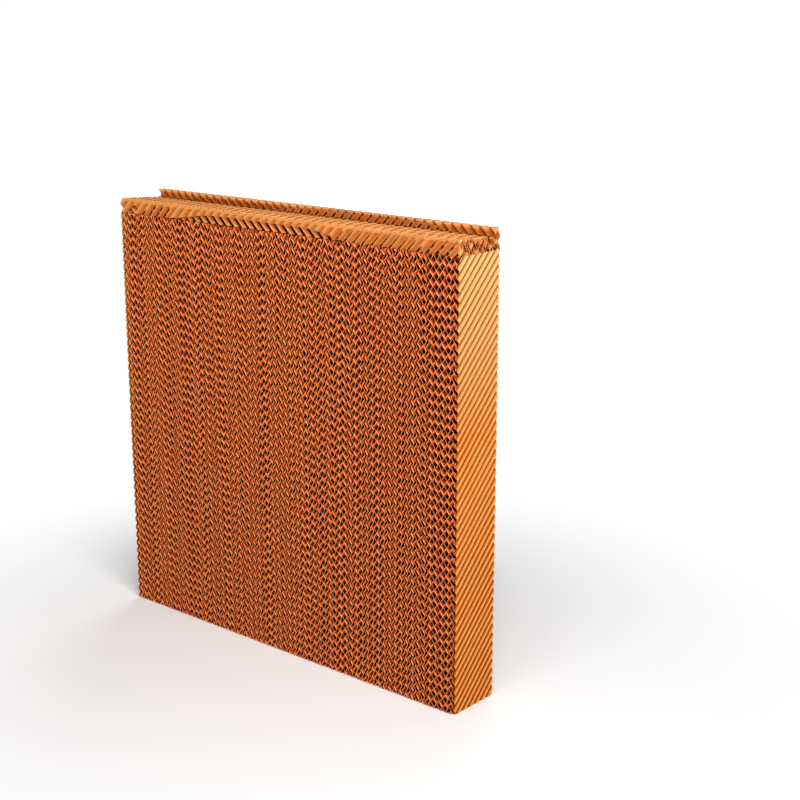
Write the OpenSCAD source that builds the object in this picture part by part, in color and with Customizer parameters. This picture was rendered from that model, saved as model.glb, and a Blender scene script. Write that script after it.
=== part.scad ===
// Evaporative cooling pad: a block of fluted paper sheets with a water strip on top.
// Millimetres, +Z up, front face towards -Y, origin at the bottom centre.

/* [Pad] */
// Width of the pad, along the stack of sheets
pad_w = 600; // [300:10:900]
// Depth of the pad, the way the air goes
pad_d = 80; // [50:5:150]
// Height of the block below the water strip
block_h = 574; // [300:1:900]

/* [Flutes] */
// Height of a flute, one sheet's share of the stack
flute_h = 4.7; // [4:0.1:8]
// Pitch of the flutes, measured square to them
flute_pitch = 8.5; // [7:0.1:16]
// How much coarser these solids are fluted than the paper, 1 for the real number of sheets
flute_coarse = 1.5; // [1:0.05:2]
// Slope of the flutes, up from the level
flute_angle = 45; // [30:1:50]
// Thickness of the stiffened paper
paper_t = 0.32; // [0.25:0.01:0.6]
// Largest slip of the flutes from sheet to sheet, in pitches
phase_slip = 1.2; // [0:0.1:2]
// Spread of the flute pitch from sheet to sheet
pitch_spread = 0.003; // [0:0.001:0.01]

/* [Water strip] */
// Height of the strip's front sheets
strip_h = 20; // [15:1:40]
// Step up to the strip's rear sheets
strip_step_h = 6; // [2:1:15]
// Pitch of the strip's flutes, measured square to them
strip_pitch = 10.2; // [7:0.1:16]
// Share of the strip's depth with the lower sheets
strip_low_share = 0.8; // [0.5:0.05:0.95]

/* [Hidden] */
// An even number of sheets, so that rising and falling flutes pair up
block_sheets = 2 * round(pad_w / (flute_h * flute_coarse) / 2);
block_step = pad_w / block_sheets;
// An odd number of sheets, so that the strip's front and back are alike
strip_sheets = 2 * round((pad_d / (flute_h * flute_coarse) - 1) / 2) + 1;
strip_step = pad_d / strip_sheets;
strip_low_sheets = round(strip_sheets * strip_low_share);

// Slip of sheet i, in pitches: neighbours lie about half a pitch apart, and that drifts along the stack
function slip(i) = 0.5 * i + phase_slip * (sin(14 * i) + 0.4 * sin(37 * i + 60));

// Pitch of sheet i, which is about p
function pitch(i, p) = p * flute_coarse * (1 + pitch_spread * sin(71 * i + 20));

// Zigzag section of one sheet: a line of folds, and the same line moved on by the paper's width along x
module zigzag(step, p, slip_p, reach) {
    skew_t = paper_t * sqrt(1 + pow(2 * step / p, 2));
    amp = (step - skew_t) / 2;
    n = 2 * ceil(reach / p) + 2;
    start = (slip_p - floor(slip_p)) * p;
    folds = [for (k = [-n:n]) [k % 2 == 0 ? amp : -amp, k * p / 2 + start]];
    back = [for (k = [2 * n:-1:0]) folds[k] + [skew_t, 0]];
    translate([-skew_t / 2, 0])
        polygon(concat(folds, back));
}

// Flutes of one sheet that lies in the Y-Z plane and is centred on the origin
module fluted(step, p, slip_p, angle, len, high) {
    reach = (high * cos(angle) + len * abs(sin(angle))) / 2;
    run = high * abs(sin(angle)) + len * cos(angle) + 2 * p;
    rotate([angle, 0, 0])
        rotate([90, 0, 0])
            linear_extrude(height = run, center = true)
                zigzag(step, p, slip_p, reach);
}

// One sheet of the block, trimmed to the pad's depth and height
module block_sheet(i, angle) {
    translate([(i + 0.5) * block_step - pad_w / 2, 0, block_h / 2])
        intersection() {
            fluted(block_step, pitch(i, flute_pitch), slip(i), angle, pad_d, block_h);
            cube([2 * block_step, pad_d, block_h], center = true);
        }
}

// One sheet of the water strip, which lies parallel to the pad's front face
module strip_sheet(j, angle) {
    high = strip_h + (j < strip_low_sheets ? 0 : strip_step_h);
    translate([0, (j + 0.5) * strip_step - pad_d / 2, block_h + high / 2])
        rotate([0, 0, -90])
            intersection() {
                fluted(strip_step, pitch(j, strip_pitch), slip(j), angle, pad_w, high);
                cube([2 * strip_step, pad_w, high], center = true);
            }
}

// Block sheets whose flutes rise towards the back, the right-hand end sheet among them
module block_rising() {
    color("peru")
        for (i = [1:2:block_sheets - 1])
            block_sheet(i, flute_angle);
}

// Block sheets whose flutes fall towards the back
module block_falling() {
    color("sienna")
        for (i = [0:2:block_sheets - 1])
            block_sheet(i, -flute_angle);
}

// Strip sheets whose flutes rise to the right, the front one among them
module strip_rising() {
    color("sandybrown")
        for (j = [0:2:strip_sheets - 1])
            strip_sheet(j, flute_angle);
}

// Strip sheets whose flutes fall to the right
module strip_falling() {
    color("burlywood")
        for (j = [1:2:strip_sheets - 1])
            strip_sheet(j, -flute_angle);
}

block_rising();
block_falling();
strip_rising();
strip_falling();
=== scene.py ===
"""Evaporative cooling pad: fluted kraft-paper sheets side by side, with a water strip on top.

Metres, +Z up, front face towards -Y. The outer sizes come from the frame, and the flutes are the paper's
real ones.
"""

import math
from dataclasses import dataclass

import bpy
import numpy as np
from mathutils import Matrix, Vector


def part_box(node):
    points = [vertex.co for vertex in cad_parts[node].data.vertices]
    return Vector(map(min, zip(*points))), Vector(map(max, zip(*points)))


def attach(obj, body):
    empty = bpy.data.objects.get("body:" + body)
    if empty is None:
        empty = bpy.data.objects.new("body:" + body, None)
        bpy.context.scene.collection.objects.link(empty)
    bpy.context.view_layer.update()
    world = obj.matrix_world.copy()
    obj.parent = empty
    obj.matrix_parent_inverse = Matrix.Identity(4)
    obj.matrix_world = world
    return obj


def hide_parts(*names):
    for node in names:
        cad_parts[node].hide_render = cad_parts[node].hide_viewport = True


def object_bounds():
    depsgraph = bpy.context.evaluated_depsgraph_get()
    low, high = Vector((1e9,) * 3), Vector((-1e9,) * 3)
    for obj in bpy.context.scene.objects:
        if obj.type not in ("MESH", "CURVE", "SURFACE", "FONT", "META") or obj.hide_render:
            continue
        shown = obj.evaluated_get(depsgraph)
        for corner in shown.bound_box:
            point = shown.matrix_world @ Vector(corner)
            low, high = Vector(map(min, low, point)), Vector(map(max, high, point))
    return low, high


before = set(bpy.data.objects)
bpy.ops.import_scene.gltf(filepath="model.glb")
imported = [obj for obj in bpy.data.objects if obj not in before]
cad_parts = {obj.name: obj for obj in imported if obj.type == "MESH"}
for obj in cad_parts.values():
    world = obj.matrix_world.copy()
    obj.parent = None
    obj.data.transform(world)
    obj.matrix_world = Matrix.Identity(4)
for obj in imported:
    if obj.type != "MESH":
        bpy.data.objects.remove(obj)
CAD_LO, CAD_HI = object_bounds()

# The pad's outer sizes, from the frame
PAD_W = CAD_HI.x - CAD_LO.x
PAD_D = CAD_HI.y - CAD_LO.y
BLOCK_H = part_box("block_rising")[1].z
STRIP_TALL_H = CAD_HI.z - BLOCK_H

# The paper's flutes, as the part's source names them
FLUTE_H = 0.0047
FLUTE_PITCH = 0.0085
FLUTE_ANGLE = math.radians(45)
PAPER_T = 0.00032
PITCH_SPREAD = 0.003
STRIP_H = 0.020
STRIP_PITCH = 0.0102
STRIP_LOW_SHARE = 0.8

# An even number of sheets in the block and an odd one in the strip, as in the part's source
BLOCK_SHEETS = 2 * round(PAD_W / FLUTE_H / 2)
BLOCK_STEP = PAD_W / BLOCK_SHEETS
STRIP_SHEETS = 2 * round((PAD_D / FLUTE_H - 1) / 2) + 1
STRIP_STEP = PAD_D / STRIP_SHEETS
STRIP_LOW_SHEETS = round(STRIP_SHEETS * STRIP_LOW_SHARE)

# The strip's low sheets get lower towards the step by this much. The step's place, and the heights beside it
STRIP_DIP = 0.004
STEP_Y = CAD_LO.y + STRIP_LOW_SHEETS * STRIP_STEP
STRIP_LOW_H = STRIP_H - STRIP_DIP
STEP_RISE = STRIP_TALL_H - STRIP_LOW_H

# Lines along each flute: fewer inside the stack, more where a whole sheet faces out. Their places are read
# from this many samples of the sheet's wave
LINES_INSIDE = 8
LINES_OUTSIDE = 16
WAVE_SAMPLES = 6000

# How much of a wave three times as fine makes the flutes pointed
POINTEDNESS = 0.07

# Slip from sheet to sheet in pitches, its spread, and the weights by which near sheets share it
SLIP_MEAN = 0.38
SLIP_SPREAD = 0.17
SLIP_WEIGHTS = 0.5, 0.8, 1, 0.8, 0.5

# The pitch goes up and down along the stack as a sine, from this start and by this much a sheet, in degrees
PITCH_START = 20
PITCH_TURN = 71

# Small faults of the paper: sideways drift of the flutes in pitches, the drift's wavelengths, and loss of
# flute height
DRIFT = 0.05
DRIFT_LENGTHS = 0.31, 0.12
FLATTENING = 0.10

# The most that is trimmed off a sheet's ends, and off those of the strip's inner sheets. This share of it
# comes and goes along the edge, in a wave that starts somewhere within these radians
TRIM = 0.0005
STRIP_TRIM = 0.004
TRIM_WAVE = 0.4
TRIM_STARTS = 6

# The paper measures thicker along the stack where its wave is steep, up to this slope
STEEPEST = 2

# The block's end sheets are pressed: broad crests that lean down over sharp grooves, which reach the next
# sheet. The crests are a cosine to these powers at the lower corner, half-way up and at the upper corner.
# A smaller one is broader. The crest lies at this share of the way up from one groove to the next
GROOVE_DEPTH = 0.0042
CREST_POWERS = 1.1, 0.4, 0.55
CREST_AT = 0.3

# Flutes torn off at the right-hand end sheet's upper front corner, and the depth of the notches that its
# flutes leave in its front edge
TORN_FLUTES = 0.6
FRONT_NOTCH = 0.0040

# The strip's outer sheets are sawn open where their wave is above these heights, with wide slits and narrow
# ones. The slits reach up to these shares of the front sheet's height and of the tall sheet's
SLIT_HEIGHT = 0.4
NARROW_SLIT_HEIGHT = 0.8
SLIT_REACH = 0.9
RISER_SLIT_REACH = 0.88

# Share of the strip's height up to which its front is torn open, and how much the tear follows the wave.
# There the second sheet is split where its wave is below this height, and fully so this much further down
TORN_SHARE = 0.55
TORN_WAVE = 0.06
SPLIT_HEIGHT = -0.3
SPLIT_FADE = 0.3

# Stretches of the strip, each as its middle along the pad and its half width. A higher power makes their
# ends sharper
WIDE_SLITS = [(0.280, 0.032), (-0.220, 0.025)]
NARROW_SLITS = [(0.175, 0.072)]
TORN_FRONT = [(-0.030, 0.135), (-0.270, 0.010)]
RISER_KEPT = [(0.08, 0.13)]
RISER_SLITS = [(0, 0.285)]
STRETCH_POWER = 6

# At most this share of a line is cut off, and a line counts as at least this high
MOST_CUT = 0.97
LEAST_HEIGHT = 1e-9

# Depth in from the pad's faces at which the paper has its full painted shade, deepest in the holes: in the
# stack, in the grooves of the end sheets, in the strip, and in the strip's second sheet, which lies open
# where the first is torn
SHADE_DEPTH = 0.005
GROOVE_SHADE_DEPTH = 0.0031
STRIP_SHADE_DEPTH = 0.0125
OPEN_SHADE_DEPTH = 0.0115
# Shares of that depth at which the paper has its rim, body and deep colours, and how far blotches shift them
RIM_AT = 0.04
BODY_AT = 0.32
DEEP_AT = 0.90
SHADE_BLOTCH = 0.3

# Share of the block's height above which the end sheets' crests get painted light from above, how far at the
# top, and how fast that fades down into the grooves
TOP_LIGHT_START = 0.62
TOP_LIGHT_MOST = 0.85
TOP_LIGHT_FADE = 1.4

# Resin blotches and fibres: fineness, detail and the fibres' lengthening upwards
BLOTCH_SCALE = 26
BLOTCH_DETAIL = 4
FIBRE_SCALE = 900
FIBRE_DETAIL = 3
FIBRE_STRETCH = 1, 1, 0.35
# Their weights in the paper's tone, the tone's range and the brightness it is turned into
FIBRE_WEIGHT = 0.5
BLOTCH_WEIGHT = 0.6
TONES = 0.3, 0.8
BRIGHTNESS = 0.76, 1.18

# Roughness of the walls and of the cut edges, and how far blotches make it smoother and rougher
WALL_ROUGHNESS = 0.72
EDGE_ROUGHNESS = 0.85
SMOOTHER = 0.12
ROUGHER = 0.10
SPECULAR = 0.05
BUMP_STRENGTH = 0.35
BUMP_HEIGHT = 0.0002

WHITE = 1, 1, 1, 1

# Seeds of the sheets' slips and, with the sheet's number added, of each sheet's faults
SLIP_SEED = 4
SHEET_SEED = 4000


# Waves


def slips(count):
    """Offsets of the sheets along their waves, in pitches, with slips that change every few sheets."""
    rng = np.random.default_rng(SLIP_SEED)
    draws = rng.normal(0, 1, count + len(SLIP_WEIGHTS) - 1)
    return np.cumsum(SLIP_MEAN + SLIP_SPREAD * np.convolve(draws, SLIP_WEIGHTS, "valid"))


SLIPS = slips(BLOCK_SHEETS + STRIP_SHEETS)


def pitch(i, p):
    """Pitch of sheet i, which is about p."""
    return p * (1 + PITCH_SPREAD * math.sin(math.radians(PITCH_TURN * i + PITCH_START)))


def wave(t):
    """Rounded zigzag of height 1, with one flute for each unit of t."""
    return (np.sin(2 * np.pi * t) - POINTEDNESS * np.sin(6 * np.pi * t)) / (1 + POINTEDNESS)


def pressed_wave(t):
    """Depth below the crests, 0 to 1, of a sheet with broad, leaning crests and sharp grooves."""
    up = t - np.floor(t)
    from_crest = np.where(up < CREST_AT, (up - CREST_AT) / CREST_AT, (up - CREST_AT) / (1 - CREST_AT))
    power = np.interp(np.linspace(0, 1, len(t)), np.linspace(0, 1, len(CREST_POWERS)), CREST_POWERS)
    return 1 - np.maximum(np.cos(np.pi / 2 * from_crest), 0) ** power


# Sheets


@dataclass
class Sheet:
    """An upright sheet as lines along its flutes, from edge to edge.

    The arrays have a row for each line: its two ends as (along, up), the offsets of the paper's two sides,
    and the wave there, which is the depth below the crests in a pressed sheet.
    """

    low: np.ndarray
    high: np.ndarray
    outer: np.ndarray
    inner: np.ndarray
    rise: np.ndarray

    def along(self):
        """Where the middle of each line lies along the sheet."""
        return (self.low[:, 0] + self.high[:, 0]) / 2

    def share(self, height):
        """The share of each line that has this height, short of the whole line."""
        whole = np.maximum(self.high[:, 1] - self.low[:, 1], LEAST_HEIGHT)
        return np.clip(height / whole, 0, MOST_CUT)[:, None]

    def cut_below(self, level):
        self.low += self.share(level - self.low[:, 1]) * (self.high - self.low)

    def cut_above(self, level):
        self.high -= self.share(self.high[:, 1] - level) * (self.high - self.low)

    def keep(self, lines):
        """Drop all other lines."""
        self.low, self.high = self.low[lines], self.high[lines]
        self.outer, self.inner, self.rise = self.outer[lines], self.inner[lines], self.rise[lines]


def flute_lines(rng, i, p, corners, lines_per_flute):
    """Places of sheet i's lines, square to the flutes, and the wave's phase there, which drifts a little."""
    dense = np.linspace(min(corners), max(corners), WAVE_SAMPLES)
    phase = dense / p + SLIPS[i]
    for wavelength in DRIFT_LENGTHS:
        phase = phase + DRIFT * np.sin(2 * np.pi * (dense / wavelength + rng.random()))
    first = math.ceil(phase[0] * lines_per_flute)
    last = math.floor(phase[-1] * lines_per_flute)
    ticks = np.arange(first, last + 1) / lines_per_flute
    across = np.union1d(np.interp(ticks, phase, dense), corners)
    return across, np.interp(across, dense, phase)


def uneven_trim(rng, across, trim):
    """How much is cut off each line at one end, which varies along the edge."""
    most = trim * rng.random()
    return most * (1 - TRIM_WAVE + TRIM_WAVE * np.sin(across / trim + TRIM_STARTS * rng.random()))


def flute_heights(rng, t):
    """The share of its height that each flute has left, a little less here and there."""
    fold = np.floor(2 * t + 0.5).astype(int)
    fold = fold - fold.min()
    loss = FLATTENING * rng.random(fold.max() + 1)
    return 1 - loss[fold]


def fluted_sheet(i, step, p, length, height, angle, lines_per_flute, trim=TRIM, pressed=0, torn=0):
    """Sheet i, which takes up one step of its stack, with flutes of about pitch p.

    trim is the most that is cut off at either end. With pressed at 1 or -1, the crests on that side are
    pressed broad. torn is the number of flutes that are missing at the upper front corner, and such a sheet
    also has a notched front edge.
    """
    rng = np.random.default_rng(SHEET_SEED + i)
    p = pitch(i, p)
    c, s = math.cos(angle), math.sin(abs(angle))
    half = length / 2
    corners = [-half * s, half * s, height * c - half * s, height * c + half * s]
    across, t = flute_lines(rng, i, p, corners, lines_per_flute)
    kept = across <= max(corners) - torn * p
    across, t = across[kept], t[kept]

    # Each line is cut off by the sheet's four edges
    cut_start = uneven_trim(rng, across, trim)
    cut_end = uneven_trim(rng, across, trim)
    if torn:
        cut_start = cut_start + FRONT_NOTCH * (1 - (t - np.floor(t)))
    start = np.maximum(-half + cut_start, -across / s)
    end = np.maximum(np.minimum(half - cut_end, (height * c - across) / s), start)
    low, high = (np.c_[u, np.clip((across + u * s) / c, 0, height)] for u in (start, end))
    if angle < 0:
        low, high = low * (-1, 1), high * (-1, 1)

    # The paper's two sides, which lie further apart where it is steep
    amp = (step - PAPER_T) / 2
    if pressed:
        rise = pressed_wave(t)
        offset = pressed * (amp - GROOVE_DEPTH * rise)
    else:
        rise = wave(t)
        offset = amp * rise * flute_heights(rng, t)
    slope = np.gradient(offset, across)
    skew = PAPER_T * np.sqrt(1 + np.minimum(slope**2, STEEPEST**2))
    outer = np.minimum(offset + skew / 2, step / 2)
    inner = np.maximum(offset - skew / 2, -step / 2)
    return Sheet(low, high, outer, inner, rise)


# Slits and tears of the strip


def within(x, stretches):
    """1 within the stretches and 0 outside, with soft ends."""
    return sum(np.exp(-(((x - middle) / half) ** STRETCH_POWER)) for middle, half in stretches)


def saw_front(sheet):
    """The strip's front sheet has slits along its crests in places, and is torn off low down in others."""
    x = sheet.along()
    wide = within(x, WIDE_SLITS) * (sheet.rise > SLIT_HEIGHT)
    narrow = within(x, NARROW_SLITS) * (sheet.rise > NARROW_SLIT_HEIGHT)
    torn = within(x, TORN_FRONT) * (TORN_SHARE + TORN_WAVE * sheet.rise)
    sheet.cut_below(STRIP_H * np.maximum(SLIT_REACH * np.maximum(wide, narrow), torn))


def split_second(sheet):
    """The strip's second sheet is split along its valleys where the front sheet is torn open."""
    valleys = np.clip((SPLIT_HEIGHT - sheet.rise) / SPLIT_FADE, 0, 1)
    sheet.cut_below(STRIP_H * within(sheet.along(), TORN_FRONT) * TORN_SHARE * valleys)


def tear_riser(sheet):
    """The first tall sheet is torn off at the step, except near the middle, where only its crests are."""
    kept = within(sheet.along(), RISER_KEPT) * (sheet.rise < SLIT_HEIGHT)
    top = STRIP_LOW_H + STEP_RISE * kept
    sheet.cut_above(top)
    # The lines at the left end that lie above the tear are gone
    sheet.keep(sheet.low[:, 1] < top)


def saw_riser(sheet):
    """The second tall sheet, which shows where the first is torn off, has slits along its crests."""
    slits = within(sheet.along(), RISER_SLITS) * (sheet.rise > SLIT_HEIGHT)
    sheet.cut_below(RISER_SLIT_REACH * STRIP_TALL_H * slits)


# What is done to single sheets of the strip, by their number
STRIP_FAULTS = {
    0: saw_front,
    1: split_second,
    STRIP_LOW_SHEETS: tear_riser,
    STRIP_LOW_SHEETS + 1: saw_riser,
}


# Meshes


def sheet_mesh(sheet, place, flip):
    """Vertices and quads of a sheet: two sides with shared vertices, then two cut edges with their own."""
    n = len(sheet.outer)
    ends = sheet.low, sheet.high
    corners = [place(end[:, 0], end[:, 1], side) for side in (sheet.outer, sheet.inner) for end in ends]
    verts = np.concatenate(corners + corners)
    line = np.arange(n - 1)
    out0, out1, in0, in1 = (line + k * n for k in range(4))
    sides = [np.c_[out0, out1, out1 + 1, out0 + 1], np.c_[in0, in0 + 1, in1 + 1, in1]]
    edges = [np.c_[out0, out0 + 1, in0 + 1, in0], np.c_[out1, in1, in1 + 1, out1 + 1]]
    quads = np.concatenate(sides + [edge + 4 * n for edge in edges])
    if flip:
        quads = quads[:, ::-1]
    is_edge = np.repeat([0, 1], 2 * (n - 1))
    return verts, quads, is_edge


def block_sheet(i):
    """Sheet i of the block, counted from the left. Odd ones rise towards the back."""
    x = (i + 0.5) * BLOCK_STEP + CAD_LO.x
    pressed = {0: -1, BLOCK_SHEETS - 1: 1}.get(i, 0)
    angle = FLUTE_ANGLE if i % 2 else -FLUTE_ANGLE
    lines = LINES_OUTSIDE if pressed else LINES_INSIDE
    torn = TORN_FLUTES if pressed > 0 else 0
    sheet = fluted_sheet(i, BLOCK_STEP, FLUTE_PITCH, PAD_D, BLOCK_H, angle, lines, TRIM, pressed, torn)
    return sheet_mesh(sheet, lambda u, v, w: np.c_[x + w, u, v], angle < 0)


def strip_sheet(j):
    """Sheet j of the water strip, counted from the front. Even ones rise to the right."""
    y = (j + 0.5) * STRIP_STEP + CAD_LO.y
    angle = -FLUTE_ANGLE if j % 2 else FLUTE_ANGLE
    height = STRIP_TALL_H
    if j < STRIP_LOW_SHEETS:
        height = STRIP_H - STRIP_DIP * j / (STRIP_LOW_SHEETS - 1)
    outside = j <= 1 or j >= STRIP_LOW_SHEETS
    lines, trim = (LINES_OUTSIDE, TRIM) if outside else (LINES_INSIDE, STRIP_TRIM)
    sheet = fluted_sheet(BLOCK_SHEETS + j, STRIP_STEP, STRIP_PITCH, PAD_W, height, angle, lines, trim)
    if j in STRIP_FAULTS:
        STRIP_FAULTS[j](sheet)
    return sheet_mesh(sheet, lambda u, v, w: np.c_[u, y - w, BLOCK_H + v], angle < 0)


def joined(name, sheets, materials):
    """One mesh object from several sheets."""
    verts, quads, kinds, base = [], [], [], 0
    for v, q, k in sheets:
        verts.append(v)
        quads.append(q + base)
        kinds.append(k)
        base += len(v)
    verts, quads, kinds = np.concatenate(verts), np.concatenate(quads), np.concatenate(kinds)
    mesh = bpy.data.meshes.new(name)
    mesh.vertices.add(len(verts))
    mesh.vertices.foreach_set("co", verts.astype(np.float32).ravel())
    mesh.loops.add(quads.size)
    mesh.loops.foreach_set("vertex_index", quads.astype(np.int32).ravel())
    mesh.polygons.add(len(quads))
    mesh.polygons.foreach_set("loop_start", np.arange(0, quads.size, 4, dtype=np.int32))
    for material in materials:
        mesh.materials.append(material)
    mesh.polygons.foreach_set("material_index", kinds.astype(np.int32))
    mesh.polygons.foreach_set("use_smooth", kinds == 0)
    mesh.update(calc_edges=True)
    mesh.validate()
    piece = bpy.data.objects.new(name, mesh)
    bpy.context.scene.collection.objects.link(piece)
    return piece


# Materials


class Tree:
    """The nodes of a material or a world, with short ways to add and link them."""

    def __init__(self, owner):
        owner.use_nodes = True
        self.nodes = owner.node_tree.nodes
        self.links = owner.node_tree.links

    def feed(self, socket, value):
        """Link a socket to a node's output, or give it a constant."""
        if isinstance(value, bpy.types.NodeSocket):
            self.links.new(value, socket)
        else:
            socket.default_value = value

    def place(self):
        """Where a point lies, in the object's own frame."""
        return self.nodes.new("ShaderNodeTexCoord").outputs["Object"]

    def calc(self, operation, a, b=0):
        node = self.nodes.new("ShaderNodeMath")
        node.operation = operation
        self.feed(node.inputs[0], a)
        self.feed(node.inputs[1], b)
        return node.outputs["Value"]

    def ranged(self, value, old, new=(0, 1), interpolation="LINEAR"):
        """A value carried from an old range over to a new one, and held within it."""
        node = self.nodes.new("ShaderNodeMapRange")
        node.interpolation_type = interpolation
        self.links.new(value, node.inputs["Value"])
        node.inputs["From Min"].default_value, node.inputs["From Max"].default_value = old
        node.inputs["To Min"].default_value, node.inputs["To Max"].default_value = new
        return node.outputs["Result"]

    def noise(self, place, scale, detail, stretch=(1, 1, 1)):
        spread = self.nodes.new("ShaderNodeMapping")
        spread.inputs["Scale"].default_value = stretch
        self.links.new(place, spread.inputs["Vector"])
        texture = self.nodes.new("ShaderNodeTexNoise")
        texture.inputs["Scale"].default_value = scale
        texture.inputs["Detail"].default_value = detail
        self.links.new(spread.outputs["Vector"], texture.inputs["Vector"])
        return texture.outputs["Fac"]

    def mixed(self, share, first, second):
        """The first shader where share is 0, and the second where it is 1."""
        mix = self.nodes.new("ShaderNodeMixShader")
        self.links.new(share, mix.inputs["Fac"])
        self.links.new(first, mix.inputs[1])
        self.links.new(second, mix.inputs[2])
        return mix.outputs["Shader"]


def depth_inside(tree, x, y, z, half_width, from_front):
    """How far inside the pad a point lies, from the nearest of its outer faces.

    The ends count as faces at half_width. The front and the back count only with from_front.
    """
    depth = tree.calc("SUBTRACT", half_width, tree.calc("ABSOLUTE", x))
    if from_front:
        depth = tree.calc("MINIMUM", depth, tree.calc("SUBTRACT", PAD_D / 2, tree.calc("ABSOLUTE", y)))
    # The strip's top, which falls towards the step and is level behind it
    low_top = tree.ranged(y, (CAD_LO.y, STEP_Y), (BLOCK_H + STRIP_H, BLOCK_H + STRIP_LOW_H))
    behind_step = tree.calc("GREATER_THAN", y, STEP_Y)
    top = tree.calc("ADD", low_top, tree.calc("MULTIPLY", behind_step, STEP_RISE))
    depth = tree.calc("MINIMUM", depth, tree.calc("SUBTRACT", top, z))
    # The riser at the step, which doesn't count further down, where a whole metre is added
    below_step = tree.calc("LESS_THAN", z, BLOCK_H + STRIP_LOW_H)
    return tree.calc("MINIMUM", depth, tree.calc("ADD", below_step, tree.calc("SUBTRACT", y, STEP_Y)))


def painted_shade_colour(tree, painted_shade, rim, body, deep):
    """The paper's colour, darkening with painted shade the further in from the pad's faces it lies."""
    node = tree.nodes.new("ShaderNodeValToRGB")
    tree.links.new(painted_shade, node.inputs["Fac"])
    first, last = node.color_ramp.elements
    first.position, first.color = RIM_AT, (*rim, 1)
    last.position, last.color = DEEP_AT, (*deep, 1)
    node.color_ramp.elements.new(BODY_AT).color = (*body, 1)
    return node.outputs["Color"]


def painted_top_light(tree, colour, top_light_colour, painted_shade, z):
    """A colour with painted light towards the block's top, on the crests."""
    up = tree.ranged(z, (BLOCK_H * TOP_LIGHT_START, BLOCK_H), (0, TOP_LIGHT_MOST))
    on_crests = tree.calc("SUBTRACT", 1, tree.calc("MULTIPLY", painted_shade, TOP_LIGHT_FADE))
    mix = tree.nodes.new("ShaderNodeMix")
    mix.data_type = "RGBA"
    tree.links.new(tree.calc("MULTIPLY", up, on_crests), mix.inputs["Factor"])
    tree.links.new(colour, mix.inputs["A"])
    mix.inputs["B"].default_value = (*top_light_colour, 1)
    return mix.outputs["Result"]


def toned_colour(tree, colour, fibre, blotch):
    """A colour that fibres and resin blotches make lighter and darker."""
    fibres = tree.calc("MULTIPLY", fibre, FIBRE_WEIGHT)
    blotches = tree.calc("MULTIPLY", blotch, BLOTCH_WEIGHT)
    tint = tree.nodes.new("ShaderNodeVectorMath")
    tint.operation = "SCALE"
    tree.links.new(colour, tint.inputs[0])
    tree.links.new(tree.ranged(tree.calc("ADD", fibres, blotches), TONES, BRIGHTNESS), tint.inputs["Scale"])
    return tint.outputs["Vector"]


def fibre_bump(tree, fibre):
    bump = tree.nodes.new("ShaderNodeBump")
    bump.inputs["Strength"].default_value = BUMP_STRENGTH
    bump.inputs["Distance"].default_value = BUMP_HEIGHT
    tree.links.new(fibre, bump.inputs["Height"])
    return bump.outputs["Normal"]


def paper(name, rim, body, deep, roughness, shade_depth=SHADE_DEPTH, top_light_colour=None, half_width=PAD_W / 2):
    """Resin-stiffened kraft paper: tan at the pad's faces, and painted shade of red-brown to near black
    further in.

    rim, body and deep are the colours at the faces, a little way in and far in, the last two painted shade.
    The colour for an end sheet's top is painted light that its crests turn to near the top. The pad's ends
    count as faces at half_width.
    """
    mat = bpy.data.materials.new(name)
    tree = Tree(mat)
    place = tree.place()
    axes = tree.nodes.new("ShaderNodeSeparateXYZ")
    tree.links.new(place, axes.inputs["Vector"])
    x, y, z = axes.outputs
    blotch = tree.noise(place, BLOTCH_SCALE, BLOTCH_DETAIL)
    fibre = tree.noise(place, FIBRE_SCALE, FIBRE_DETAIL, FIBRE_STRETCH)

    # Painted shade: the colour darkens with depth in from the pad's faces, deepest in holes, grooves and
    # slits
    depth = depth_inside(tree, x, y, z, half_width, from_front=not top_light_colour)
    shift = tree.calc("MULTIPLY", tree.calc("SUBTRACT", blotch, 0.5), SHADE_BLOTCH)
    painted_shade = tree.calc("ADD", tree.calc("MULTIPLY", depth, 1 / shade_depth), shift)
    colour = painted_shade_colour(tree, painted_shade, rim, body, deep)
    # Painted light on the end sheets' crests towards the block's top
    if top_light_colour:
        colour = painted_top_light(tree, colour, top_light_colour, painted_shade, z)

    shader = tree.nodes["Principled BSDF"]
    rough = tree.ranged(blotch, (0, 1), (roughness - SMOOTHER, roughness + ROUGHER))
    tree.links.new(toned_colour(tree, colour, fibre, blotch), shader.inputs["Base Color"])
    tree.links.new(rough, shader.inputs["Roughness"])
    tree.links.new(fibre_bump(tree, fibre), shader.inputs["Normal"])
    shader.inputs["Specular IOR Level"].default_value = SPECULAR
    return mat


# Each paper darkens from its rim colour through body to deep, as painted shade with depth into the pad
wall = paper(
    "kraft_wall",
    rim=(0.90, 0.295, 0.082),
    body=(0.46, 0.043, 0.003),
    deep=(0.050, 0.002, 0.001),
    roughness=WALL_ROUGHNESS,
    half_width=PAD_W / 2 - FLUTE_H,
)
# The end sheets: painted shade in their grooves and painted light on their crests near the top
end_wall = paper(
    "kraft_end_wall",
    rim=(0.89, 0.375, 0.088),
    body=(0.53, 0.100, 0.006),
    deep=(0.10, 0.007, 0.001),
    roughness=WALL_ROUGHNESS,
    shade_depth=GROOVE_SHADE_DEPTH,
    top_light_colour=(0.83, 0.55, 0.220),
)
strip_wall = paper(
    "kraft_strip_wall",
    rim=(0.70, 0.285, 0.084),
    body=(0.51, 0.125, 0.016),
    deep=(0.04, 0.002, 0.001),
    roughness=WALL_ROUGHNESS,
    shade_depth=STRIP_SHADE_DEPTH,
)
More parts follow.
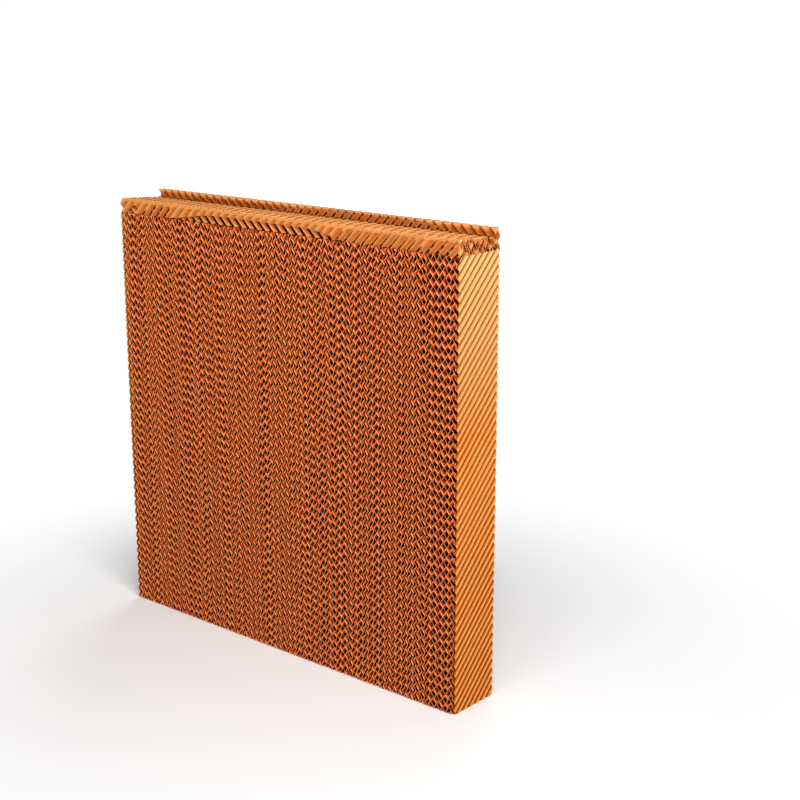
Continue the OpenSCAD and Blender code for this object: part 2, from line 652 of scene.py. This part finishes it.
# The strip's second sheet: a lighter copy of the strip's paper, painted light that makes up for the front
# sheet's shadow over it
painted_light_open_wall = paper(
    "kraft_painted_light_open_wall",
    rim=(0.95, 0.410, 0.130),
    body=(0.94, 0.355, 0.090),
    deep=(0.10, 0.009, 0.001),
    roughness=WALL_ROUGHNESS,
    shade_depth=OPEN_SHADE_DEPTH,
)
cut_edge = paper(
    "kraft_cut_edge",
    rim=(0.94, 0.355, 0.122),
    body=(0.94, 0.355, 0.122),
    deep=(0.60, 0.16, 0.035),
    roughness=EDGE_ROUGHNESS,
)


# The block and the strip

# The block's sheets are in two halves, so that no piece has too many triangles
HALF = BLOCK_SHEETS // 2

# Each piece's node, name, sheets and the paper of its walls
PIECES = [
    ("block_rising", "rising_sheets_left", range(1, HALF, 2), wall),
    ("block_rising", "rising_sheets_right", range(HALF + 1, BLOCK_SHEETS - 1, 2), wall),
    ("block_rising", "end_sheet_right", [BLOCK_SHEETS - 1], end_wall),
    ("block_falling", "end_sheet_left", [0], end_wall),
    ("block_falling", "falling_sheets_left", range(2, HALF, 2), wall),
    ("block_falling", "falling_sheets_right", range(HALF, BLOCK_SHEETS, 2), wall),
    ("strip_rising", "strip_sheets_rising", range(0, STRIP_SHEETS, 2), strip_wall),
    ("strip_falling", "strip_second_sheet", [1], painted_light_open_wall),
    ("strip_falling", "strip_sheets_falling", range(3, STRIP_SHEETS, 2), strip_wall),
]

for node, name, numbers, sides in PIECES:
    in_block = node.startswith("block")
    sheets = [block_sheet(k) if in_block else strip_sheet(k) for k in numbers]
    piece = joined(name, sheets, [sides, cut_edge])
    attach(piece, "root")
    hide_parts(node)


# Floor, light and camera

FLOOR_SIZE = 40
FLOOR_COLOUR = 0.86, 0.86, 0.86, 1
FLOOR_ROUGHNESS = 0.9
# Distances from the pad's middle between which the floor turns white
FLOOR_FADE = 0.25, 0.75

WORLD_STRENGTH = 0.22

# Fitted to the pad's corners in the photograph
CAMERA_AZIMUTH = 40.499
CAMERA_ELEVATION = 14.732
CAMERA_DISTANCE = 2.0043
CAMERA_LENS = 67.57
CAMERA_SENSOR = 36
AIM_RIGHT = 0.1355
AIM_UP = 0.0449


def seen_directly(tree):
    """1 for rays from the camera, in reflections and through clear things."""
    rays = tree.nodes.new("ShaderNodeLightPath").outputs
    seen = rays["Is Camera Ray"]
    for kind in ("Is Glossy Ray", "Is Transmission Ray"):
        seen = tree.calc("MAXIMUM", seen, rays[kind])
    return seen


def plain_floor():
    """A pale floor that turns into the white background away from the pad and keeps the shadow near it."""
    bpy.ops.mesh.primitive_plane_add(size=FLOOR_SIZE, location=(0, 0, 0))
    floor = bpy.context.object
    floor.name = "floor"
    mat = bpy.data.materials.new("floor")
    tree = Tree(mat)
    shader = tree.nodes["Principled BSDF"]
    shader.inputs["Base Color"].default_value = FLOOR_COLOUR
    shader.inputs["Roughness"].default_value = FLOOR_ROUGHNESS
    shader.inputs["Specular IOR Level"].default_value = 0
    white = tree.nodes.new("ShaderNodeEmission")
    white.inputs["Color"].default_value = WHITE
    distance = tree.nodes.new("ShaderNodeVectorMath")
    distance.operation = "LENGTH"
    tree.links.new(tree.place(), distance.inputs[0])
    fade = tree.ranged(distance.outputs["Value"], FLOOR_FADE, interpolation="SMOOTHSTEP")
    share = tree.calc("MULTIPLY", fade, seen_directly(tree))
    surface = tree.mixed(share, shader.outputs["BSDF"], white.outputs["Emission"])
    tree.links.new(surface, tree.nodes["Material Output"].inputs["Surface"])
    floor.data.materials.append(mat)


def studio_world():
    """Even grey light all round, seen as white by the camera and in reflections."""
    world = bpy.data.worlds.new("studio")
    bpy.context.scene.world = world
    tree = Tree(world)
    light = tree.nodes["Background"]
    light.inputs["Color"].default_value = WHITE
    light.inputs["Strength"].default_value = WORLD_STRENGTH
    white = tree.nodes.new("ShaderNodeBackground")
    white.inputs["Color"].default_value = WHITE
    surface = tree.mixed(seen_directly(tree), light.outputs["Background"], white.outputs["Background"])
    tree.links.new(surface, tree.nodes["World Output"].inputs["Surface"])


def outward(azimuth, elevation):
    """The way from the pad to a lamp or the camera. Azimuth 0 is in front, 90 at the right."""
    a, e = math.radians(azimuth), math.radians(elevation)
    return Vector((math.sin(a) * math.cos(e), -math.cos(a) * math.cos(e), math.sin(e)))


def soft_lamp(name, azimuth, elevation, distance, size, power):
    """A square area lamp that faces the block's middle."""
    data = bpy.data.lights.new(name, "AREA")
    data.size = size
    data.energy = power
    lamp = bpy.data.objects.new(name, data)
    away = outward(azimuth, elevation)
    lamp.location = Vector((0, 0, BLOCK_H / 2)) + away * distance
    lamp.rotation_euler = away.to_track_quat("Z", "Y").to_euler()
    bpy.context.scene.collection.objects.link(lamp)


def photo_camera():
    """The photograph's viewing angle, aimed to the right of the pad, where the other pads stand."""
    back = outward(CAMERA_AZIMUTH, CAMERA_ELEVATION)
    right = outward(CAMERA_AZIMUTH + 90, 0)
    up = back.cross(right)
    data = bpy.data.cameras.new("camera")
    data.lens = CAMERA_LENS
    data.sensor_width = CAMERA_SENSOR
    camera = bpy.data.objects.new("camera", data)
    middle = Vector((0, 0, (CAD_LO.z + CAD_HI.z) / 2))
    camera.location = middle + right * AIM_RIGHT + up * AIM_UP + back * CAMERA_DISTANCE
    camera.rotation_euler = back.to_track_quat("Z", "Y").to_euler()
    bpy.context.scene.collection.objects.link(camera)
    bpy.context.scene.camera = camera


plain_floor()
studio_world()
soft_lamp("key", azimuth=60, elevation=48, distance=1.9, size=0.8, power=33)
soft_lamp("front_fill", azimuth=8, elevation=16, distance=2.8, size=1.6, power=36)
soft_lamp("back_fill", azimuth=205, elevation=30, distance=2.8, size=1.6, power=24)
photo_camera()
bpy.context.scene.view_settings.view_transform = "Standard"
